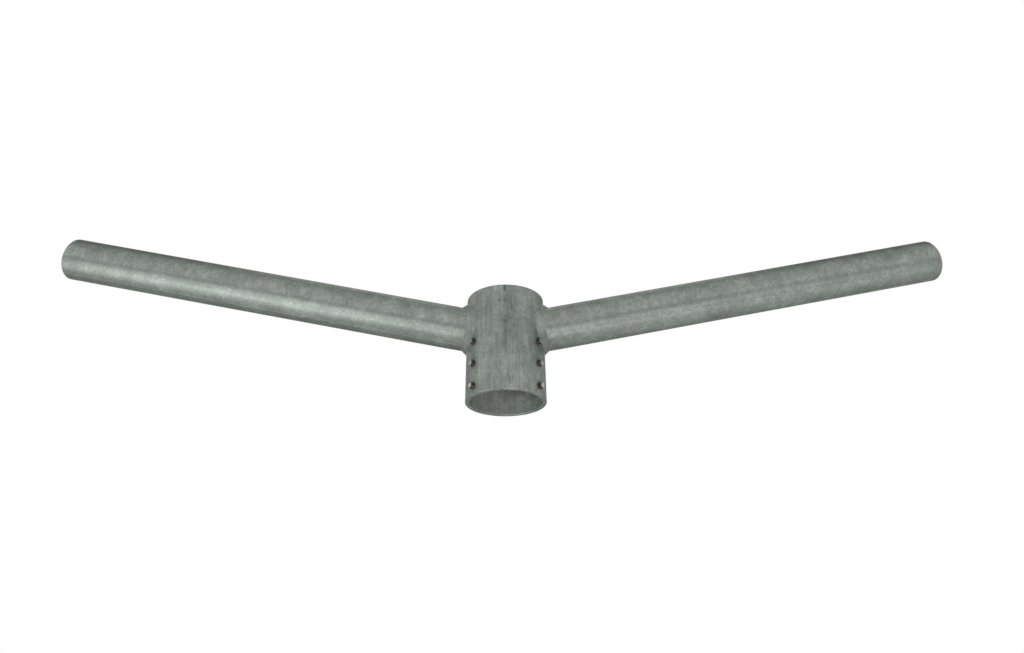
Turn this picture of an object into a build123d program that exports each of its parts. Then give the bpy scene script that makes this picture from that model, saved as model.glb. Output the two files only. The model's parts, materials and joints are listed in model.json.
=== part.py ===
"""Steel pole crossarm: a socket tube with two rising arms welded to its sides.

It stands upright on the socket's lower rim. The origin is the centre of that rim, +Z runs
up the socket and the two arms lie in the XZ plane. Sizes are in millimetres and degrees.
"""
from build123d import *
from math import cos, radians, sin, sqrt, tan
import os

# Socket: thick-walled tube, open at both ends, that slips over the top of the pole
SOCKET_OD = 108.0
SOCKET_WALL = 6.0
SOCKET_LENGTH = 150.0

# Arms: thinner tube, coped to the socket at the root and cut square at the tip
ARM_OD = 60.3
ARM_WALL = 3.6
ARM_REACH = 646.0               # from the socket's axis to the tip, along the arm's axis
ARM_RISE = 11.2                 # angle above the horizontal
ROOT_DRESSING = 0.15            # ground off the root, inside and out, before welding
DRESSED_PAST_WELD = 2.0         # how far that goes beyond the upper toe of the weld
DRESSING_RUN_OUT = 1.5          # length over which it comes back to the full wall
CABLE_HOLE_DIAMETER = 25.0      # through the socket's wall, on the arm's axis

# Fillet weld round each saddle joint
WELD_LEG = 7.5                  # width of the bead on the socket and on the arm
RIM_ABOVE_WELD = 5.5            # bare wall between the bead's upper toe and the top rim

# Set screws that press the pole against the back of the socket: hexagon-socket grub
# screws in tapped holes, in a column on each side of the front
SCREW_DIAMETER = 8.0
SCREW_LENGTH = 10.0
SCREW_KEY_SIZE = 4.0            # across the flats of the hexagon
SCREW_KEY_DEPTH = 4.5
SCREW_BEVEL = 0.8               # at both ends of the screw
SCREW_TIP_SETBACK = 1.0         # from the bore to the screw's tip, so that the pole goes in
SCREW_HOLE_CLEARANCE = 0.05     # on the radius
SCREW_ROWS = 3
SCREW_FIRST_ROW = 12.0          # height of the lowest row above the lower rim
SCREW_TO_WELD = 2.5             # between the highest row's screws and the weld
SCREW_ANGLE = 53.0              # of each column, to the left and right of the front, -Y

# Sawn ends are filed to a small round edge
SOCKET_EDGE = 0.8
ARM_EDGE = 0.6

SIDES = {"left": -1, "right": 1}

socket_radius = SOCKET_OD / 2
bore_radius = socket_radius - SOCKET_WALL
arm_radius = ARM_OD / 2
arm_bore_radius = arm_radius - ARM_WALL
root_radius = arm_radius - ROOT_DRESSING
rise = radians(ARM_RISE)

# The arms' axes cross the socket's axis as high as the upper toe of the weld allows
arm_top_on_socket = socket_radius * tan(rise) + root_radius / cos(rise)
crossing_height = SOCKET_LENGTH - RIM_ABOVE_WELD - WELD_LEG - arm_top_on_socket

# The dressed root ends beyond the weld's upper toe, which is its furthest point out
upper_toe = (socket_radius + root_radius * sin(rise)) / cos(rise) + WELD_LEG
dressed_end = upper_toe + DRESSED_PAST_WELD


def upright(radius, height, base=0.0):
    """A solid round bar on the socket's axis, from its base upwards."""
    bar = Cylinder(radius, height, align=(Align.CENTER, Align.CENTER, Align.MIN))
    return Pos(0, 0, base) * bar


def along_arm(side):
    """The place where an arm's axis starts, with Z out along the arm and X to its underside."""
    outward = (side * cos(rise), 0, sin(rise))
    underside = (side * sin(rise), 0, -cos(rise))
    return Plane(origin=(0, 0, crossing_height), x_dir=underside, z_dir=outward).location


def radial(angle, height):
    """The place on the socket's axis at a height, with Z pointing out at an angle from -Y."""
    outward = (sin(radians(angle)), -cos(radians(angle)), 0)
    return Plane(origin=(0, 0, height), x_dir=(0, 0, 1), z_dir=outward).location


def highest_row():
    """The height at which a screw's side still clears the weld."""
    across = socket_radius * cos(radians(SCREW_ANGLE))
    outward = socket_radius * sin(radians(SCREW_ANGLE))
    reach = arm_radius + WELD_LEG + SCREW_DIAMETER / 2 + SCREW_TO_WELD
    drop = sqrt(max(reach**2 - across**2, 0.0))
    return crossing_height + (outward * sin(rise) - drop) / cos(rise)


def row_heights():
    """Heights of the rows of set screws, evenly spaced up to the highest that fits."""
    pitch = (highest_row() - SCREW_FIRST_ROW) / (SCREW_ROWS - 1)
    return [SCREW_FIRST_ROW + row * pitch for row in range(SCREW_ROWS)]


def rim_edges(tube, level):
    """The round edges of a tube at a level on its own Z axis."""
    return [edge for edge in tube.edges().filter_by(GeomType.CIRCLE)
            if abs(edge.center().Z - level) < 1e-3]


def make_pole_socket():
    """The socket tube, with its tapped holes and the two cable holes behind the arms."""
    tube = upright(socket_radius, SOCKET_LENGTH) - upright(bore_radius, SOCKET_LENGTH)
    tube = fillet(rim_edges(tube, 0.0) + rim_edges(tube, SOCKET_LENGTH), SOCKET_EDGE)
    hole = upright(SCREW_DIAMETER / 2 + SCREW_HOLE_CLEARANCE, SOCKET_OD)
    for side in SIDES.values():
        for height in row_heights():
            tube -= radial(side * SCREW_ANGLE, height) * hole
        tube -= along_arm(side) * upright(CABLE_HOLE_DIAMETER / 2, SOCKET_OD)
    return tube


def make_arm(side):
    """An arm tube, coped to the round of the socket and open at its tip."""
    full_wall = dressed_end + DRESSING_RUN_OUT
    wall = Polyline((root_radius, 0, 0), (root_radius, 0, dressed_end),
                    (arm_radius, 0, full_wall), (arm_radius, 0, ARM_REACH),
                    (arm_bore_radius, 0, ARM_REACH), (arm_bore_radius, 0, full_wall),
                    (arm_bore_radius + ROOT_DRESSING, 0, dressed_end),
                    (arm_bore_radius + ROOT_DRESSING, 0, 0), close=True)
    tube = revolve(make_face(wall), Axis.Z)
    tube = fillet(rim_edges(tube, ARM_REACH), ARM_EDGE)
    return along_arm(side) * tube - upright(socket_radius, SOCKET_LENGTH)


def make_weld(side):
    """The bead in the corner between an arm and the socket, round the whole saddle."""
    post = upright(socket_radius, SOCKET_LENGTH)
    stub = along_arm(side) * upright(root_radius, SOCKET_OD + ARM_OD)
    joined = post + stub
    saddle = [edge for edge in joined.edges()
              if edge.geom_type not in (GeomType.CIRCLE, GeomType.LINE)]
    return chamfer(saddle, WELD_LEG) - post - stub


def make_set_screw(angle, height):
    """A grub screw with a hexagon socket in its outer end, its tip just inside the bore."""
    screw = upright(SCREW_DIAMETER / 2, SCREW_LENGTH)
    screw = chamfer(rim_edges(screw, 0.0) + rim_edges(screw, SCREW_LENGTH), SCREW_BEVEL)
    key = extrude(RegularPolygon(SCREW_KEY_SIZE / 2, 6, major_radius=False), SCREW_KEY_DEPTH)
    screw -= Pos(0, 0, SCREW_LENGTH - SCREW_KEY_DEPTH) * key
    return radial(angle, height) * Pos(0, 0, bore_radius + SCREW_TIP_SETBACK) * screw


def build_nodes():
    """Every piece of the crossarm, under its node's name."""
    nodes = {"pole_socket": make_pole_socket()}
    for name, side in SIDES.items():
        nodes[f"{name}_arm"] = make_arm(side)
        nodes[f"{name}_weld"] = make_weld(side)
        for row, height in enumerate(row_heights(), start=1):
            nodes[f"{name}_set_screw_{row}"] = make_set_screw(side * SCREW_ANGLE, height)
    return nodes


os.makedirs("parts", exist_ok=True)
for node, shape in build_nodes().items():
    export_step(shape, f"parts/{node}.step")
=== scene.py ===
"""Steel pole crossarm: studio, finishes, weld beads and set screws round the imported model."""
from dataclasses import dataclass
from enum import Enum
import json
import logging
from math import atan2, cos, hypot, pi, radians, sin, sqrt

import bmesh
import bpy
from mathutils import Matrix, Vector


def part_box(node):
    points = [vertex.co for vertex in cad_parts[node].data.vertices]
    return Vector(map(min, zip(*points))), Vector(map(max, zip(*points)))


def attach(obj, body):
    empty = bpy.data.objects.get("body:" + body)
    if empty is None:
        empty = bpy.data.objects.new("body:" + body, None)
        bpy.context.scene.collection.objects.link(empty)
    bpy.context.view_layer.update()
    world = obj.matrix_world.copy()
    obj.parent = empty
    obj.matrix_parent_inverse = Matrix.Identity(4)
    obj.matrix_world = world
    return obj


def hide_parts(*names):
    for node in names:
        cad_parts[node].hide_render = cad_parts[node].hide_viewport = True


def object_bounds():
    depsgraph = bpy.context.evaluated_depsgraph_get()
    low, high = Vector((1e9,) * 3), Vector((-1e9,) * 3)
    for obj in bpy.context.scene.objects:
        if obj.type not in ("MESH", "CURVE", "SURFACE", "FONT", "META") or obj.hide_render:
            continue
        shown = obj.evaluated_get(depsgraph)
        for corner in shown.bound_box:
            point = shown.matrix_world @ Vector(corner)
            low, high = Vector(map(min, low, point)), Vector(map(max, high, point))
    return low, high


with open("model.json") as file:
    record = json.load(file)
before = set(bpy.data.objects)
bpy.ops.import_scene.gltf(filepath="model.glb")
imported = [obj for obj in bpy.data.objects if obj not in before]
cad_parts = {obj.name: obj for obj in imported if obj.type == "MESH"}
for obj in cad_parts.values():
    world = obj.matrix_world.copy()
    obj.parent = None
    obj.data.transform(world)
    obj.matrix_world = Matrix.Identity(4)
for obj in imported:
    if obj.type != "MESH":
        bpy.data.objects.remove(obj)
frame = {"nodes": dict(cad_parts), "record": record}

log = logging.getLogger("crossarm")

MM = 0.001
WHITE = "#FFFFFF"
CAD_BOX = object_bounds()


def linear(hex_colour: str) -> tuple[float, float, float, float]:
    """Turn an sRGB hex colour into linear RGBA.

    Args:
        hex_colour: colour as "#RRGGBB".

    Returns:
        The linear red, green and blue, and an alpha of 1.
    """
    channels = [int(hex_colour[i:i + 2], 16) / 255 for i in (1, 3, 5)]
    red, green, blue = [c / 12.92 if c <= 0.04045 else ((c + 0.055) / 1.055) ** 2.4
                        for c in channels]
    return (red, green, blue, 1.0)


def per_metre(feature_mm: float) -> float:
    """Give the texture scale at which one feature of a pattern has a size in millimetres."""
    return 1.0 / (feature_mm * MM)


def add_node(tree: bpy.types.NodeTree, kind: str, settings: dict | None = None,
             links: dict | None = None) -> bpy.types.Node:
    """Add a shader node with its settings and links.

    Args:
        tree: node tree that gets the node.
        kind: node type, such as "ShaderNodeMath".
        settings: values by input name, input number or property name.
        links: output sockets by input name or input number.

    Returns:
        The new node.
    """
    node = tree.nodes.new(kind)
    for key, value in (settings or {}).items():
        if isinstance(key, str) and key not in node.inputs:
            setattr(node, key, value)
        else:
            node.inputs[key].default_value = value
    for key, source in (links or {}).items():
        tree.links.new(source, node.inputs[key])
    return node


def new_material(name: str) -> tuple[bpy.types.Material, bpy.types.NodeTree]:
    """Make an empty node material.

    Args:
        name: the material's name.

    Returns:
        The material and its cleared node tree.
    """
    material = bpy.data.materials.new(name)
    material.use_nodes = True
    material.node_tree.nodes.clear()
    return material, material.node_tree


class Side(Enum):
    """The two arms, with the sign of X on which each one lies."""

    LEFT = -1
    RIGHT = 1

    @property
    def label(self) -> str:
        """The word that the side's nodes start with."""
        return self.name.lower()


@dataclass(frozen=True)
class ArmAxis:
    """An arm's axis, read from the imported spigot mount."""

    side: Side
    tip: Vector
    outward: Vector

    @classmethod
    def of(cls, side: Side) -> "ArmAxis":
        """Read an arm's axis from the record.

        Args:
            side: which arm.

        Returns:
            The axis, from its tip.
        """
        mount = find_mount(f"{side.label}_arm_spigot")
        return cls(side, Vector(mount["pos_m"]), Vector(mount["axis"]).normalized())

    @property
    def crossing(self) -> Vector:
        """The place where the arm's axis crosses the socket's axis."""
        return self.tip - self.outward * (self.tip.x / self.outward.x)

    @property
    def upward(self) -> Vector:
        """The direction square to the arm, in its own vertical plane, that points up."""
        return Vector((-self.outward.x * self.outward.z, 0.0, self.outward.x ** 2)).normalized()


def find_mount(name: str) -> dict:
    """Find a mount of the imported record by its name."""
    return next(mount for mount in frame["record"]["mounts"] if mount["name"] == name)


def socket_radius() -> float:
    """Give the outer radius of the socket tube in millimetres."""
    low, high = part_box("pole_socket")
    return (high[0] - low[0]) / 2 / MM


def node_object(node: str) -> bpy.types.Object:
    """Give the Blender object of a CAD node."""
    return frame["nodes"][node]


def add_piece(shape: bmesh.types.BMesh, name: str, node: str,
              materials: list[bpy.types.Material], smooth: bool = False) -> None:
    """Make a finished mesh a piece of the model, in place of a CAD node.

    Args:
        shape: the mesh in metres, which is freed here.
        name: the piece's name.
        node: the CAD node that it takes the place of.
        materials: its finishes, in the order of its faces' material numbers.
        smooth: whether its faces are shaded smoothly.
    """
    mesh = bpy.data.meshes.new(name)
    shape.to_mesh(mesh)
    shape.free()
    if smooth:
        mesh.polygons.foreach_set("use_smooth", [True] * len(mesh.polygons))
    for material in materials:
        mesh.materials.append(material)
    piece = bpy.data.objects.new(name, mesh)
    bpy.context.scene.collection.objects.link(piece)
    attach(piece, "root")
    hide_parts(node)
    log.info("built %s", name)


def dress(node: str, material: bpy.types.Material) -> None:
    """Give every face of a CAD node one material.

    Args:
        node: the CAD node's name.
        material: the finish that it gets.
    """
    thing = node_object(node)
    if not thing.material_slots:
        thing.data.materials.append(material)
    for material_slot in thing.material_slots:
        material_slot.material = material


@dataclass(frozen=True)
class Seam:
    """The long weld of a rolled tube: a pale scarfed line with a darker strip below it."""

    normal_angle: float          # of the line round the tube, in degrees above the front
    line_width: float = 2.4      # degrees
    strip_width: float = 30.0    # degrees
    line_lift: float = 0.16
    strip_drop: float = 0.10


@dataclass(frozen=True)
class Mark:
    """A soft dark spot on the skin: a pinhole or a bit of ash in the zinc, or a patch of painted
    shade or shadow.
    """

    place: tuple[float, float, float]    # metres
    radius: float                        # millimetres
    depth: float                         # 0 to 1
    stretch: float = 1.0                 # how many times taller than wide


@dataclass(frozen=True)
class HotDipZinc:
    """Hot-dip galvanised steel: a dull zinc skin over the whole welded part.

    The skin has weathered from bright to a grey-green matt, so it is part metal and part
    matt oxide. Spangle shows as faint patches, and the zinc has drained down in fine runs.
    """

    name: str
    dark: str = "#515651"
    middle: str = "#6F756F"
    pale: str = "#929892"
    metallic: float = 0.66
    roughness: float = 0.31
    edge: str = "#7C827C"         # tint at grazing angles, where oxide dulls the metal
    sheen_level: float = 0.25
    spangle_mm: float = 4.0
    blotch_mm: float = 26.0
    run_width_mm: float = 2.2
    run_length_mm: float = 40.0
    grain_mm: float = 0.9
    speck_mm: float = 62.0
    spangle_share: float = 0.06
    blotch_share: float = 0.34
    run_share: float = 0.30
    grain_share: float = 0.10
    bump: float = 0.16
    relief_mm: float = 0.4
    roughness_swing: float = 0.06    # duller where the skin is dark, brighter where pale
    pinhole_mm: float = 0.8
    pinhole_depth: float = 0.5
    seed: float = 0.0
    arm: ArmAxis | None = None
    seam: Seam | None = None
    marks: tuple[Mark, ...] = ()

    def build(self) -> bpy.types.Material:
        """Make the material.

        Returns:
            The zinc skin as a Principled material.
        """
        material, tree = new_material(self.name)
        place = add_node(tree, "ShaderNodeTexCoord").outputs["Object"]
        moved = add_node(tree, "ShaderNodeMapping", {"Location": (self.seed, 0.0, 0.0)},
                         {"Vector": place}).outputs["Vector"]
        spangle = self.spangle(tree, moved)
        blotch = self.noise(tree, moved, self.blotch_mm, detail=5.0)
        runs = self.runs(tree, moved)
        grain = self.noise(tree, moved, self.grain_mm, detail=2.0)
        tone = self.mix_tones(tree, [(spangle, self.spangle_share), (blotch, self.blotch_share),
                                     (runs, self.run_share), (grain, self.grain_share)])
        tone = self.specks(tree, moved, tone)
        # Marks darken the skin: real spots, and painted shade inside the socket and round its
        # screws.
        for mark in self.marks:
            tone = self.darken_mark(tree, place, tone, mark)
        if self.arm and self.seam:
            tone = self.add_seam(tree, place, tone)
        ramp = add_node(tree, "ShaderNodeValToRGB", links={"Fac": tone})
        ramp.color_ramp.elements[0].color = linear(self.dark)
        ramp.color_ramp.elements[0].position = 0.14
        ramp.color_ramp.elements[1].color = linear(self.pale)
        ramp.color_ramp.elements[1].position = 0.86
        ramp.color_ramp.elements.new(0.5).color = linear(self.middle)
        rough = add_node(tree, "ShaderNodeMapRange",
                         {"From Min": 0.2, "From Max": 0.8,
                          "To Min": self.roughness + self.roughness_swing,
                          "To Max": self.roughness - self.roughness_swing}, {"Value": tone})
        height = self.mix_tones(tree, [(grain, 0.5), (spangle, 0.3), (runs, 0.5)])
        bump = add_node(tree, "ShaderNodeBump",
                        {"Strength": self.bump, "Distance": self.relief_mm * MM},
                        {"Height": height})
        shader = add_node(tree, "ShaderNodeBsdfPrincipled",
                          {"Metallic": self.metallic, "Specular IOR Level": self.sheen_level,
                           "Specular Tint": linear(self.edge)},
                          {"Base Color": ramp.outputs["Color"],
                           "Roughness": rough.outputs["Result"],
                           "Normal": bump.outputs["Normal"]})
        add_node(tree, "ShaderNodeOutputMaterial", links={"Surface": shader.outputs["BSDF"]})
        return material

    def noise(self, tree: bpy.types.NodeTree, place: bpy.types.NodeSocket, feature_mm: float,
              detail: float) -> bpy.types.NodeSocket:
        """Add a cloud of noise whose patches have a real size.

        Args:
            tree: the material's tree.
            place: coordinates in metres.
            feature_mm: the size of one patch.
            detail: how many finer layers it has.

        Returns:
            The noise, from 0 to 1.
        """
        node = add_node(tree, "ShaderNodeTexNoise",
                        {"Scale": per_metre(feature_mm), "Detail": detail, "Roughness": 0.6},
                        {"Vector": place})
        return node.outputs["Fac"]

    def spangle(self, tree: bpy.types.NodeTree,
                place: bpy.types.NodeSocket) -> bpy.types.NodeSocket:
        """Add the zinc's crystals: ragged cells, each with a tone of its own.

        Args:
            tree: the material's tree.
            place: coordinates in metres.

        Returns:
            The cells' tone, from 0 to 1.
        """
        ragged = add_node(tree, "ShaderNodeTexNoise",
                          {"Scale": per_metre(self.spangle_mm * 0.6), "Detail": 3.0},
                          {"Vector": place})
        shift = add_node(tree, "ShaderNodeVectorMath",
                         {"operation": "MULTIPLY_ADD", 1: (self.spangle_mm * MM,) * 3},
                         {0: ragged.outputs["Color"], 2: place})
        cells = add_node(tree, "ShaderNodeTexVoronoi", {"Scale": per_metre(self.spangle_mm)},
                         {"Vector": shift.outputs["Vector"]})
        tone = add_node(tree, "ShaderNodeSeparateColor", links={"Color": cells.outputs["Color"]})
        return tone.outputs["Red"]

    def runs(self, tree: bpy.types.NodeTree,
             place: bpy.types.NodeSocket) -> bpy.types.NodeSocket:
        """Add the fine upright runs that the zinc left as it drained.

        Args:
            tree: the material's tree.
            place: coordinates in metres.

        Returns:
            The runs' tone, from 0 to 1.
        """
        across, along = per_metre(self.run_width_mm), per_metre(self.run_length_mm)
        stretched = add_node(tree, "ShaderNodeMapping", {"Scale": (across, across, along)},
                             {"Vector": place})
        node = add_node(tree, "ShaderNodeTexNoise",
                        {"Scale": 1.0, "Detail": 4.0, "Roughness": 0.62, "Distortion": 0.25},
                        {"Vector": stretched.outputs["Vector"]})
        return node.outputs["Fac"]

    def mix_tones(self, tree: bpy.types.NodeTree,
                  shares: list[tuple[bpy.types.NodeSocket, float]]) -> bpy.types.NodeSocket:
        """Add up patterns, each by its share of the difference from mid tone.

        Args:
            tree: the material's tree.
            shares: the patterns and how strongly each one shows.

        Returns:
            The sum, around 0.5.
        """
        total = sum(share for _, share in shares)
        tone = None
        for pattern, share in shares:
            gain = 2.0 * share
            offset = (0.5 - total) / len(shares)
            part = add_node(tree, "ShaderNodeMath",
                            {"operation": "MULTIPLY_ADD", 1: gain, 2: offset}, {0: pattern})
            if tone is None:
                tone = part.outputs["Value"]
            else:
                tone = add_node(tree, "ShaderNodeMath", {"operation": "ADD"},
                                {0: tone, 1: part.outputs["Value"]}).outputs["Value"]
        return tone

    def subtract(self, tree: bpy.types.NodeTree, tone: bpy.types.NodeSocket,
                 mask: bpy.types.NodeSocket, amount: float) -> bpy.types.NodeSocket:
        """Darken a tone under a mask by an amount, or lighten it by a negative one.

        Args:
            tree: the material's tree.
            tone: the tone so far.
            mask: where it changes, from 0 to 1.
            amount: how much comes off at a mask of 1.

        Returns:
            The changed tone.
        """
        return add_node(tree, "ShaderNodeMath", {"operation": "MULTIPLY_ADD", 1: -amount},
                        {0: mask, 2: tone}).outputs["Value"]

    def specks(self, tree: bpy.types.NodeTree, place: bpy.types.NodeSocket,
               tone: bpy.types.NodeSocket) -> bpy.types.NodeSocket:
        """Scatter pinholes of dark ash over the skin.

        Args:
            tree: the material's tree.
            place: coordinates in metres.
            tone: the tone so far.

        Returns:
            The tone with its pinholes.
        """
        cells = add_node(tree, "ShaderNodeTexVoronoi", {"Scale": per_metre(self.speck_mm)},
                         {"Vector": place})
        dot = add_node(tree, "ShaderNodeMapRange",
                       {"From Min": self.pinhole_mm / self.speck_mm,
                        "From Max": 2 * self.pinhole_mm / self.speck_mm,
                        "To Min": 1.0, "To Max": 0.0}, {"Value": cells.outputs["Distance"]})
        return self.subtract(tree, tone, dot.outputs["Result"], self.pinhole_depth)

    def darken_mark(self, tree: bpy.types.NodeTree, place: bpy.types.NodeSocket,
                    tone: bpy.types.NodeSocket, mark: Mark) -> bpy.types.NodeSocket:
        """Darken the skin round one mark.

        Args:
            tree: the material's tree.
            place: coordinates in metres.
            tone: the tone so far.
            mark: the spot.

        Returns:
            The darkened tone.
        """
        offset = add_node(tree, "ShaderNodeVectorMath", {"operation": "SUBTRACT", 1: mark.place},
                          {0: place})
        squashed = add_node(tree, "ShaderNodeVectorMath",
                            {"operation": "MULTIPLY", 1: (1.0, 1.0, 1.0 / mark.stretch)},
                            {0: offset.outputs["Vector"]})
        away = add_node(tree, "ShaderNodeVectorMath", {"operation": "LENGTH"},
                        {0: squashed.outputs["Vector"]})
        spot = add_node(tree, "ShaderNodeMapRange",
                        {"From Min": mark.radius * MM * 0.4, "From Max": mark.radius * MM,
                         "To Min": 1.0, "To Max": 0.0, "interpolation_type": "SMOOTHSTEP"},
                        {"Value": away.outputs["Value"]})
        return self.subtract(tree, tone, spot.outputs["Result"], mark.depth)

    def add_seam(self, tree: bpy.types.NodeTree, place: bpy.types.NodeSocket,
                 tone: bpy.types.NodeSocket) -> bpy.types.NodeSocket:
        """Draw the tube's long seam, at its angle round the arm.

        Args:
            tree: the material's tree.
            place: coordinates in metres.
            tone: the tone so far.

        Returns:
            The tone with the seam's line and strip.
        """
        up = add_node(tree, "ShaderNodeVectorMath",
                      {"operation": "DOT_PRODUCT", 1: tuple(self.arm.upward)}, {0: place})
        level = self.arm.upward.dot(self.arm.crossing)
        high = add_node(tree, "ShaderNodeMath", {"operation": "SUBTRACT", 1: level},
                        {0: up.outputs["Value"]})
        axes = add_node(tree, "ShaderNodeSeparateXYZ", links={"Vector": place})
        front = add_node(tree, "ShaderNodeMath", {"operation": "MULTIPLY", 1: -1.0},
                         {0: axes.outputs["Y"]})
        angle = add_node(tree, "ShaderNodeMath", {"operation": "ARCTAN2"},
                         {0: high.outputs["Value"], 1: front.outputs["Value"]})
        below = add_node(tree, "ShaderNodeMath",
                         {"operation": "MULTIPLY_ADD", 1: -1.0,
                          2: radians(self.seam.normal_angle)}, {0: angle.outputs["Value"]})
        away = add_node(tree, "ShaderNodeMath", {"operation": "ABSOLUTE"},
                        {0: below.outputs["Value"]})
        half = radians(self.seam.line_width) / 2
        line = add_node(tree, "ShaderNodeMapRange",
                        {"From Min": half * 0.4, "From Max": half * 1.6, "To Min": 1.0,
                         "To Max": 0.0}, {"Value": away.outputs["Value"]})
        strip_end = radians(self.seam.strip_width)
        into = add_node(tree, "ShaderNodeMapRange",
                        {"From Min": 0.0, "From Max": half}, {"Value": below.outputs["Value"]})
        out = add_node(tree, "ShaderNodeMapRange",
                       {"From Min": strip_end * 0.8, "From Max": strip_end, "To Min": 1.0,
                        "To Max": 0.0}, {"Value": below.outputs["Value"]})
        strip = add_node(tree, "ShaderNodeMath", {"operation": "MULTIPLY"},
                         {0: into.outputs["Result"], 1: out.outputs["Result"]})
        tone = self.subtract(tree, tone, strip.outputs["Value"], self.seam.strip_drop)
        return self.subtract(tree, tone, line.outputs["Result"], -self.seam.line_lift)


@dataclass(frozen=True)
class ScrewSteel:
    """Plain steel of a grub screw, with soil in its finest hollows; its bright copy is the turned
    end, and its dark copy on the thread is painted shade.
    """

    name: str
    colour: str
    soiled: str
    roughness: float
    soil_mm: float = 1.8
    relief_mm: float = 0.1

    def build(self) -> bpy.types.Material:
        """Make the material.

        Returns:
            Steel with soil in its finest hollows.
        """
        material, tree = new_material(self.name)
        place = add_node(tree, "ShaderNodeTexCoord").outputs["Object"]
        soil = add_node(tree, "ShaderNodeTexNoise",
                        {"Scale": per_metre(self.soil_mm), "Detail": 4.0}, {"Vector": place})
        ramp = add_node(tree, "ShaderNodeValToRGB", links={"Fac": soil.outputs["Fac"]})
        ramp.color_ramp.elements[0].color = linear(self.soiled)
        ramp.color_ramp.elements[0].position = 0.3
        ramp.color_ramp.elements[1].color = linear(self.colour)
        ramp.color_ramp.elements[1].position = 0.55
        rough = add_node(tree, "ShaderNodeMapRange",
                         {"To Min": self.roughness + 0.2, "To Max": self.roughness - 0.05},
                         {"Value": soil.outputs["Fac"]})
        bump = add_node(tree, "ShaderNodeBump",
                        {"Strength": 0.15, "Distance": self.relief_mm * MM},
                        {"Height": soil.outputs["Fac"]})
        shader = add_node(tree, "ShaderNodeBsdfPrincipled", {"Metallic": 1.0},
                          {"Base Color": ramp.outputs["Color"],
                           "Roughness": rough.outputs["Result"],
                           "Normal": bump.outputs["Normal"]})
        add_node(tree, "ShaderNodeOutputMaterial", links={"Surface": shader.outputs["BSDF"]})
        return material


@dataclass
class GrubScrew:
    """A hexagon-socket set screw with a rolled thread, in place of a plain CAD one."""

    node: str
    radius: float = 4.0          # millimetres, at the thread's crests
    core: float = 3.35
    length: float = 10.0
    pitch: float = 1.25
    bevel: float = 0.8
    key_radius: float = 2.31     # to the corners of a 4 mm hexagon
    key_depth: float = 4.5
    thread_sink: float = 0.25    # how far the ridge's root sinks into the core
    crest_half: float = 0.09     # half width of the ridge's flat crest
    root_share: float = 0.46     # half width of its root, as a share of the pitch
    facets: int = 24

    def build(self, thread: bpy.types.Material, end: bpy.types.Material) -> None:
        """Make the screw where its CAD node is.

        Args:
            thread: finish of the threaded side, darkened as painted shade.
            end: finish of the outer end and its hexagon socket.
        """
        shape = bmesh.new()
        self.add_body(shape)
        self.add_thread(shape)
        bmesh.ops.scale(shape, verts=shape.verts, vec=(MM, MM, MM))
        bmesh.ops.transform(shape, verts=shape.verts, matrix=self.place())
        add_piece(shape, f"{self.node}_threaded", self.node, [thread, end])

    def place(self) -> Matrix:
        """Give the screw's place: its tip at the origin of Z, and Z out of the socket."""
        low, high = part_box(self.node)
        centre = (Vector(low) + Vector(high)) / 2
        outward = Vector((centre.x, centre.y, 0.0)).normalized()
        tip = centre - outward * (self.length / 2) * MM
        return Matrix.Translation(tip) @ outward.to_track_quat("Z", "Y").to_matrix().to_4x4()

    def add_body(self, shape: bmesh.types.BMesh) -> None:
        """Add the core, bevelled at both ends, with the hexagon sunk into its outer end.

        Args:
            shape: the screw so far.
        """
        rings = [(self.core - self.bevel, 0.0), (self.core, self.bevel),
                 (self.core, self.length - self.bevel), (self.core - self.bevel / 2, self.length)]
        loops = []
        for radius, level in rings:
            ring = bmesh.ops.create_circle(shape, segments=self.facets, radius=radius,
                                           matrix=Matrix.Translation((0.0, 0.0, level)))
            loops.append(self.edges_of(ring["verts"]))
        bmesh.ops.contextual_create(shape, geom=loops[0])
        for lower, upper in zip(loops, loops[1:]):
            bmesh.ops.bridge_loops(shape, edges=lower + upper)
        mouth = bmesh.ops.create_circle(shape, segments=6, radius=self.key_radius,
                                        matrix=Matrix.Translation((0.0, 0.0, self.length)))
        mouth_edges = self.edges_of(mouth["verts"])
        face_ring = bmesh.ops.bridge_loops(shape, edges=loops[-1] + mouth_edges)["faces"]
        wall = bmesh.ops.extrude_edge_only(shape, edges=mouth_edges)
        floor = [item for item in wall["geom"] if isinstance(item, bmesh.types.BMVert)]
        walls = [item for item in wall["geom"] if isinstance(item, bmesh.types.BMFace)]
        bmesh.ops.translate(shape, verts=floor, vec=(0.0, 0.0, -self.key_depth))
        bottom = bmesh.ops.contextual_create(shape, geom=self.edges_of(floor))["faces"]
        bmesh.ops.recalc_face_normals(shape, faces=shape.faces)
        for face in face_ring + walls + bottom:
            face.material_index = 1

    def edges_of(self, verts: list[bmesh.types.BMVert]) -> list[bmesh.types.BMEdge]:
        """Give the edges whose two ends are both in a list of vertices."""
        inside = set(verts)
        return list({edge for vert in verts for edge in vert.link_edges
                     if all(end in inside for end in edge.verts)})

    def add_thread(self, shape: bmesh.types.BMesh) -> None:
        """Wind the thread's ridge round the core as one closed bar.

        Args:
            shape: the screw so far.
        """
        turns = int((self.length - 2 * self.bevel) / self.pitch) - 0.5
        steps = int(turns * self.facets)
        root, crest = self.core - self.thread_sink, self.radius
        width = self.pitch * self.root_share
        corners = [(root, -width), (crest, -self.crest_half), (crest, self.crest_half),
                   (root, width)]
        start = self.bevel + width
        verts = [shape.verts.new((radius, 0.0, start + level)) for radius, level in corners]
        section = shape.faces.new(verts)
        bmesh.ops.spin(shape, geom=[section, *section.edges, *verts],
                       cent=(0.0, 0.0, 0.0), axis=(0.0, 0.0, 1.0),
                       dvec=(0.0, 0.0, self.pitch / self.facets),
                       angle=2 * pi * turns, steps=steps, use_duplicate=False)
        bmesh.ops.recalc_face_normals(shape, faces=shape.faces)


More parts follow.
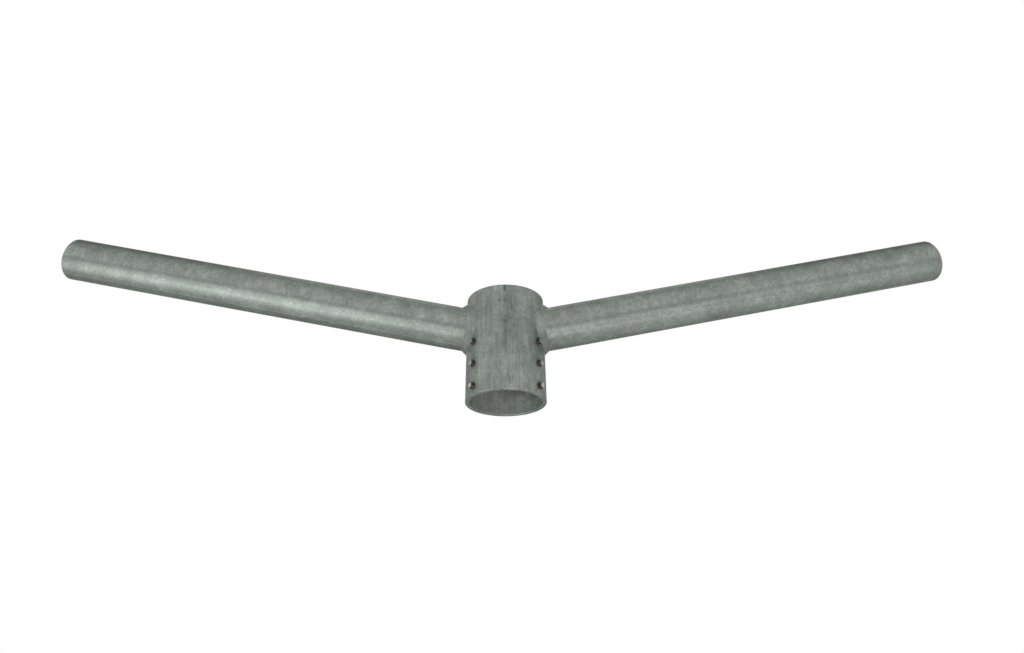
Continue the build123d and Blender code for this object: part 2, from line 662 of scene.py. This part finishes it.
@dataclass
class PoleSocket:
    """The upright socket tube and the set screws in its wall."""

    shadow_radius: float = 6.2    # millimetres, of the painted shadow: a dark ring where a screw goes in
    shadow_depth: float = 0.55
    soil_radius: float = 11.0     # millimetres, of the dirt and painted shadow round a screw
    soil_depth: float = 0.16

    def screw_names(self) -> list[str]:
        """List the set screws' nodes."""
        return sorted(name for name in frame["nodes"] if "set_screw" in name)

    def screw_soil(self) -> tuple[Mark, ...]:
        """Give the rings round the screws: a painted shadow where each goes in, and a wider ring
        of dirt and painted shadow.
        """
        marks = []
        for name in self.screw_names():
            low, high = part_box(name)
            centre = tuple((Vector(low) + Vector(high)) / 2)
            # painted shadow at the screw's base
            marks.append(Mark(centre, self.shadow_radius, self.shadow_depth))
            # dirt and painted shadow round the screw
            marks.append(Mark(centre, self.soil_radius, self.soil_depth))
        return tuple(marks)

    def scorch(self, around: float, level: float, radius: float, depth: float,
               stretch: float = 1.0, inside: bool = False) -> Mark:
        """Give a dark mark on the tube's wall: a spot in the zinc or a patch of painted shade.

        Args:
            around: degrees round from the front, towards +X.
            level: millimetres above the lower rim.
            radius: its half width in millimetres.
            depth: how dark it is.
            stretch: how many times taller than wide it is.
            inside: whether it is on the inner wall.

        Returns:
            The mark, placed on the wall.
        """
        wall = find_mount("pole_socket")["dims"]["r_mm"] if inside else socket_radius()
        turn = radians(around)
        place = (wall * sin(turn) * MM, -wall * cos(turn) * MM, level * MM)
        return Mark(place, radius, depth, stretch)

    def wall_marks(self) -> tuple[Mark, ...]:
        """Give the tube's marks: its long seam, burns, scratches and dull patches, and painted
        shade on its inner wall.
        """
        seam = (self.scorch(-1.5, 146.0, 3.0, 0.34, stretch=3.0),
                self.scorch(-1.0, 126.0, 2.2, 0.20, stretch=3.0),
                self.scorch(-1.0, 70.0, 3.4, 0.13, stretch=15.0))
        ash_spots = (self.scorch(-9.6, 126.5, 1.9, 0.45), self.scorch(-42.0, 17.0, 1.6, 0.45))
        scratches = (self.scorch(4.5, 12.0, 1.4, 0.28, stretch=5.0),
                     self.scorch(8.0, 16.0, 1.2, 0.22, stretch=4.0))
        dull_patches = (self.scorch(4.0, 104.0, 17.0, 0.13, stretch=3.0),
                        self.scorch(43.0, 74.0, 13.0, 0.16, stretch=3.0),
                        self.scorch(40.0, 120.0, 10.0, 0.12, stretch=2.0))
        # Painted shade: the inner wall darkened deep in the tube and low on its back right; the
        # broad mark darkens the outer back wall a little too.
        painted_shade_inside = (self.scorch(180.0, 78.0, 66.0, 0.22, inside=True),
                       self.scorch(150.0, 40.0, 20.0, 0.24, inside=True),
                       self.scorch(128.0, 22.0, 12.0, 0.20, inside=True))
        return seam + ash_spots + scratches + dull_patches + painted_shade_inside

    def build(self) -> None:
        """Dress the tube and make its screws."""
        dress("pole_socket", HotDipZinc("hot-dip galvanised socket tube",
                                        marks=self.wall_marks() + self.screw_soil()).build())
        # The thread's dark steel is painted shade of the screw's side; the end is the same steel,
        # bright.
        thread = ScrewSteel("soiled steel screw thread", "#4A453C", "#161410", 0.42).build()
        end = ScrewSteel("turned steel screw end", "#D9D6CC", "#A5A197", 0.24).build()
        for name in self.screw_names():
            GrubScrew(name).build(thread, end)


@dataclass
class WeldBead:
    """The fillet weld round an arm's root: a hollow face with soft ripples, toe to toe."""

    axis: ArmAxis
    socket_radius: float         # millimetres
    root_radius: float           # millimetres, of the arm under the bead
    leg_on_socket: float = 6.6   # millimetres, measured out from the arm
    leg_on_arm: float = 8.2
    hollow: float = 0.74         # 1 is a flat face, less is hollow
    sunk: float = 0.15           # millimetres that the toes sink into the tubes
    toe_angle: float = 40.0      # degrees, past which an edge is shaded sharp
    ripple_height: float = 0.14
    ripple_spacing: float = 3.2
    mid_bead: float = 1.1        # the ripples' radius, as a share of the root's
    chevron: float = 0.5         # ripples by which a wave lags towards the socket
    wobbles: tuple[tuple[float, float], ...] = ((0.7, 3.1), (0.5, 7.3))  # sizes and rates
    steps: int = 480
    cuts: int = 9

    def build(self, material: bpy.types.Material) -> None:
        """Make the bead in place of its CAD node.

        Args:
            material: the bead's finish.
        """
        shape = bmesh.new()
        self.add_section(shape)
        bmesh.ops.spin(shape, geom=list(shape.edges) + list(shape.verts), cent=(0, 0, 0),
                       axis=(0, 0, 1), dvec=(0, 0, 0), angle=2 * pi, steps=self.steps,
                       use_merge=True, use_duplicate=False)
        bmesh.ops.remove_doubles(shape, verts=shape.verts, dist=1e-4)
        for vert in shape.verts:
            vert.co = self.on_saddle(vert.co)
        bmesh.ops.recalc_face_normals(shape, faces=shape.faces)
        for edge in shape.edges:
            edge.smooth = edge.calc_face_angle(0.0) < radians(self.toe_angle)
        label = self.axis.side.label
        add_piece(shape, f"{label}_weld_bead", f"{label}_weld", [material],
                  smooth=True)

    def add_section(self, shape: bmesh.types.BMesh) -> None:
        """Add the bead's section: the face from toe to toe, closed through the corner.

        Args:
            shape: an empty mesh; X is out from the arm's axis and Z is along the arm.
        """
        corner = (self.root_radius - self.sunk, -self.sunk)
        places = [corner, (self.root_radius + self.leg_on_socket, -self.sunk),
                  (self.root_radius - self.sunk, self.leg_on_arm)]
        verts = [shape.verts.new((out, 0.0, along)) for out, along in places]
        edges = [shape.edges.new((verts[i], verts[(i + 1) % 3])) for i in range(3)]
        bmesh.ops.subdivide_edges(shape, edges=[edges[1]], cuts=self.cuts)
        for vert in shape.verts:
            if vert not in verts:
                self.hollow_out(vert)

    def hollow_out(self, vert: bmesh.types.BMVert) -> None:
        """Pull a point of the bead's face in towards the corner.

        Args:
            vert: a point on the straight line from toe to toe.
        """
        across, along = self.leg_on_socket + self.sunk, self.leg_on_arm + self.sunk
        start = self.root_radius - self.sunk
        share = min(max((vert.co.x - start) / across, 0.0), 1.0)
        angle = share * pi / 2
        power = 2 / self.hollow
        vert.co.x = start + across * sin(angle) ** power
        vert.co.z = along * cos(angle) ** power - self.sunk

    def on_saddle(self, place: Vector) -> Vector:
        """Carry a point of the round ring on to the saddle where arm and socket meet.

        Args:
            place: in millimetres, with Z along the arm from the socket's surface.

        Returns:
            The place in metres, in the model's frame.
        """
        around = atan2(place.y, place.x)
        out = hypot(place.x, place.y)
        share = (out - self.root_radius) / self.leg_on_socket
        face = 1.0 - (2.0 * share - 1.0) ** 2 if 0.0 < share < 1.0 else 0.0
        ripples = around * self.root_radius * self.mid_bead / self.ripple_spacing
        unevenness = sum(size * sin(rate * around) for size, rate in self.wobbles)
        wave = 0.5 + 0.5 * sin(2 * pi * (ripples + self.chevron * share ** 2) + unevenness)
        along = place.z + self.ripple_height * face * wave
        rise, level = self.axis.outward.z, abs(self.axis.outward.x)
        depth = sqrt(self.socket_radius ** 2 - (out * sin(around)) ** 2)
        start = (depth + rise * out * cos(around)) / level
        sideways = self.axis.outward.cross(self.axis.upward)
        return self.axis.crossing + MM * (self.axis.upward * out * cos(around)
                                          + sideways * out * sin(around)
                                          + self.axis.outward * (start + along))


@dataclass
class Arm:
    """One rising arm and the weld bead at its root."""

    side: Side
    seam: Seam | None = None
    root_dressing: float = 0.15   # millimetres ground off the tube under the bead

    def build(self) -> None:
        """Dress the arm and make its weld."""
        axis = ArmAxis.of(self.side)
        label = self.side.label
        dress(f"{label}_arm", HotDipZinc(f"hot-dip galvanised {label} arm tube", arm=axis,
                                         middle="#747A74", pale="#9EA49E", roughness=0.27,
                                         blotch_share=0.26, run_share=0.18,
                                         seam=self.seam, seed=0.37 * self.side.value).build())
        weld_zinc = HotDipZinc(f"galvanised {label} weld bead", middle="#747A74",
                               roughness=0.22, seed=0.21).build()
        spigot = find_mount(f"{label}_arm_spigot")["dims"]
        WeldBead(axis, socket_radius=socket_radius(),
                 root_radius=spigot["r_mm"] - self.root_dressing).build(weld_zinc)
        log.info("dressed %s arm", label)


@dataclass(frozen=True)
class Softbox:
    """A flat soft lamp that faces the middle of the part."""

    name: str
    azimuth: float               # degrees round from the front, towards +X
    elevation: float             # degrees above the horizontal
    away: float                  # metres from the middle of the part
    width: float                 # metres
    height: float                # metres
    watts: float

    def hang(self, middle: Vector) -> None:
        """Hang the lamp.

        Args:
            middle: the place that it faces.
        """
        around, above = radians(self.azimuth), radians(self.elevation)
        towards = Vector((sin(around) * cos(above), -cos(around) * cos(above), sin(above)))
        light = bpy.data.lights.new(self.name, "AREA")
        light.shape = "RECTANGLE"
        light.size = self.width
        light.size_y = self.height
        light.energy = self.watts
        lamp = bpy.data.objects.new(self.name, light)
        lamp.matrix_world = (Matrix.Translation(middle + towards * self.away)
                             @ towards.to_track_quat("Z", "Y").to_matrix().to_4x4())
        bpy.context.scene.collection.objects.link(lamp)


@dataclass(frozen=True)
class Studio:
    """Pale floor, white surroundings and soft lamps."""

    floor_half: float = 4.0          # metres
    floor_colour: str = "#EDEDEB"
    floor_glow: float = 0.60         # added to what the camera sees, never as light
    room_light: float = 0.02
    middle: tuple[float, float, float] = (0.0, 0.0, 0.14)
    lamps: tuple[Softbox, ...] = (
        Softbox("left softbox", -60.0, -33.0, away=1.8, width=1.0, height=0.9, watts=36.0),
        Softbox("right softbox", 60.0, -36.0, away=1.8, width=1.0, height=0.9, watts=26.0),
        Softbox("low strip", 4.0, -45.0, away=1.6, width=3.6, height=0.3, watts=72.0),
        Softbox("back softbox", 180.0, 66.0, away=2.2, width=2.0, height=1.2, watts=10.0))

    def build(self) -> None:
        """Make the floor, the surroundings and the lamps."""
        self.make_floor()
        self.make_surroundings()
        for lamp in self.lamps:
            lamp.hang(Vector(self.middle))
        log.info("built the studio")

    def make_floor(self) -> None:
        """Make the floor, clear from below so that the part can be seen from there."""
        mesh = bpy.data.meshes.new("floor")
        shape = bmesh.new()
        bmesh.ops.create_grid(shape, x_segments=1, y_segments=1, size=self.floor_half)
        bmesh.ops.translate(shape, verts=shape.verts, vec=(0.0, 0.0, CAD_BOX[0].z))
        shape.to_mesh(mesh)
        shape.free()
        floor = bpy.data.objects.new("floor", mesh)
        bpy.context.scene.collection.objects.link(floor)
        material, tree = new_material("painted studio floor")
        matt = add_node(tree, "ShaderNodeBsdfDiffuse", {"Color": linear(self.floor_colour)})
        seen = add_node(tree, "ShaderNodeLightPath").outputs["Is Camera Ray"]
        pale = add_node(tree, "ShaderNodeEmission", {"Strength": self.floor_glow})
        none = add_node(tree, "ShaderNodeEmission", {"Strength": 0.0})
        glow = add_node(tree, "ShaderNodeMixShader",
                        links={0: seen, 1: none.outputs["Emission"], 2: pale.outputs["Emission"]})
        above = add_node(tree, "ShaderNodeAddShader",
                         links={0: matt.outputs["BSDF"], 1: glow.outputs["Shader"]})
        clear = add_node(tree, "ShaderNodeBsdfTransparent")
        under = add_node(tree, "ShaderNodeNewGeometry").outputs["Backfacing"]
        mixed = add_node(tree, "ShaderNodeMixShader",
                         links={0: under, 1: above.outputs["Shader"], 2: clear.outputs["BSDF"]})
        add_node(tree, "ShaderNodeOutputMaterial", links={"Surface": mixed.outputs["Shader"]})
        mesh.materials.append(material)
        floor.visible_shadow = False

    def make_surroundings(self) -> None:
        """Make the world: white to the camera and in reflections, dimmer as light."""
        world = bpy.data.worlds.new("white studio")
        bpy.context.scene.world = world
        world.use_nodes = True
        tree = world.node_tree
        tree.nodes.clear()
        path = add_node(tree, "ShaderNodeLightPath")
        seen = add_node(tree, "ShaderNodeMath", {"operation": "MAXIMUM"},
                        {0: path.outputs["Is Camera Ray"], 1: path.outputs["Is Glossy Ray"]})
        seen = add_node(tree, "ShaderNodeMath", {"operation": "MAXIMUM"},
                        {0: seen.outputs["Value"], 1: path.outputs["Is Transmission Ray"]})
        lit = add_node(tree, "ShaderNodeBackground",
                       {"Color": linear(WHITE), "Strength": self.room_light})
        shown = add_node(tree, "ShaderNodeBackground", {"Color": linear(WHITE), "Strength": 1.0})
        mixed = add_node(tree, "ShaderNodeMixShader",
                         links={0: seen.outputs["Value"], 1: lit.outputs["Background"],
                                2: shown.outputs["Background"]})
        add_node(tree, "ShaderNodeOutputWorld", links={"Surface": mixed.outputs["Shader"]})


@dataclass(frozen=True)
class Camera:
    """The view: from in front and below, close enough for a strong perspective."""

    target: tuple[float, float, float] = (-0.0024, 0.0, 0.2123)
    azimuth: float = -0.77           # degrees round from the front, towards +X
    elevation: float = -30.94        # degrees above the horizontal
    roll: float = 0.29               # degrees
    away: float = 0.9901             # metres
    lens: float = 23.464             # millimetres
    shift: tuple[float, float] = (0.0084, -0.0596)

    def build(self) -> None:
        """Set up the scene's camera."""
        around, above = radians(self.azimuth), radians(self.elevation)
        back = Vector((sin(around) * cos(above), -cos(around) * cos(above), sin(above)))
        turn = back.to_track_quat("Z", "Y").to_matrix().to_4x4()
        view = bpy.data.cameras.new("camera")
        view.lens = self.lens
        view.sensor_width = 36.0
        view.shift_x, view.shift_y = self.shift
        view.clip_start = 0.01
        camera = bpy.data.objects.new("camera", view)
        camera.matrix_world = (Matrix.Translation(Vector(self.target) + back * self.away)
                               @ turn @ Matrix.Rotation(-radians(self.roll), 4, "Z"))
        bpy.context.scene.collection.objects.link(camera)
        bpy.context.scene.camera = camera


def main() -> None:
    """Build and dress the crossarm, then the studio round it."""
    logging.basicConfig(level=logging.INFO)
    PoleSocket().build()
    Arm(Side.LEFT, seam=Seam(normal_angle=-72.0)).build()
    Arm(Side.RIGHT).build()
    Studio().build()
    Camera().build()
    bpy.context.scene.view_settings.view_transform = "Standard"


if __name__ == "__main__":
    main()
